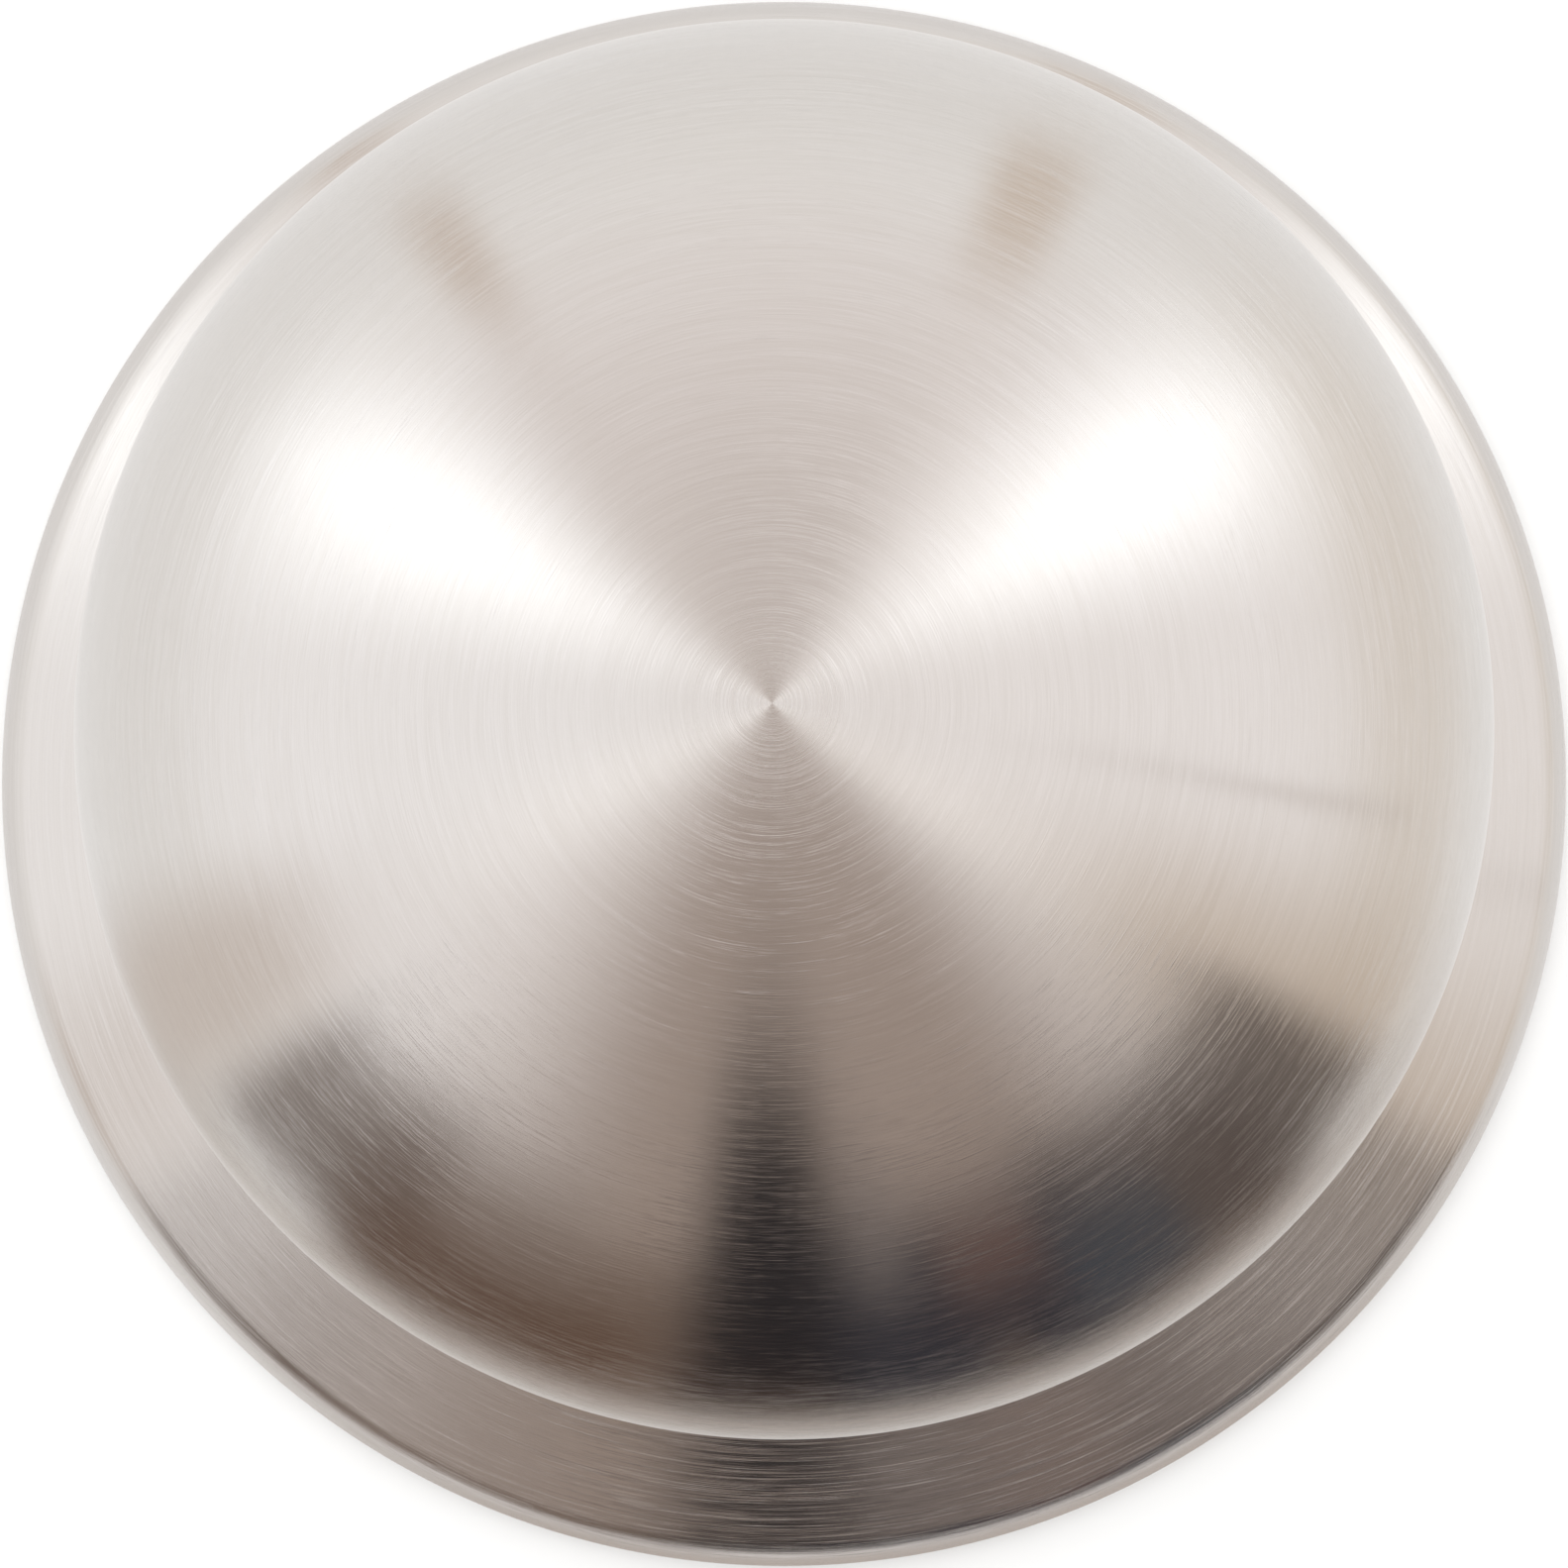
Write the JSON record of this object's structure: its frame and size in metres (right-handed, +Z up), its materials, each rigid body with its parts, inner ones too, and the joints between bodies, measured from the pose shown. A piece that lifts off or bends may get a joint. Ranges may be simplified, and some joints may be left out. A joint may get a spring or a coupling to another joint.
{
  "type": "bollard",
  "caption": "Bolt-down steel safety bollard: stainless sleeve with a hemispherical cap over a concrete-filled core, and a sliding round cover over its anchored base plate.",
  "frame": {"origin": "on the post's axis at ground level, in the plane of the base pad's underside", "axes": "+Z up along the post's axis; the anchors lie on the diagonals of X and Y"},
  "size_m": [0.25, 0.25, 0.98],
  "materials": {
    "stainless_brushed": "circular brushed stainless steel",
    "stainless_turned": "bare turned stainless steel",
    "galvanised_steel": "hot-dip galvanised, spangled and dull",
    "zinc_plated_steel": "bright zinc plated",
    "black_rubber": "matt black rubber",
    "black_plastic": "matt black plastic",
    "concrete": "cured grey concrete"
  },
  "bodies": {
    "post": {"base_pad": "black_rubber", "base_plate": "galvanised_steel", "core_tube": "galvanised_steel", "concrete_fill": "concrete", "core_lid": "galvanised_steel", "middle_centring_ring": "black_plastic", "upper_centring_ring": "black_plastic", "sleeve_gasket": "black_rubber", "post_sleeve": "stainless_brushed", "sleeve_foot_ring": "galvanised_steel", "set_screws": "zinc_plated_steel", "cap_ring": "stainless_turned", "dome_cap": "stainless_brushed", "anchor_studs": "zinc_plated_steel", "anchor_clips": "stainless_turned", "anchor_washers": "zinc_plated_steel", "anchor_nuts": "zinc_plated_steel"},
    "cover": {"base_cover": "stainless_brushed", "cover_seal": "black_rubber"}
  },
  "joints": [
    {"name": "cover_slide", "type": "slide", "parent": "post", "child": "cover", "axis": [0, 0, 1], "range_m": [0, 0.75]}
  ]
}
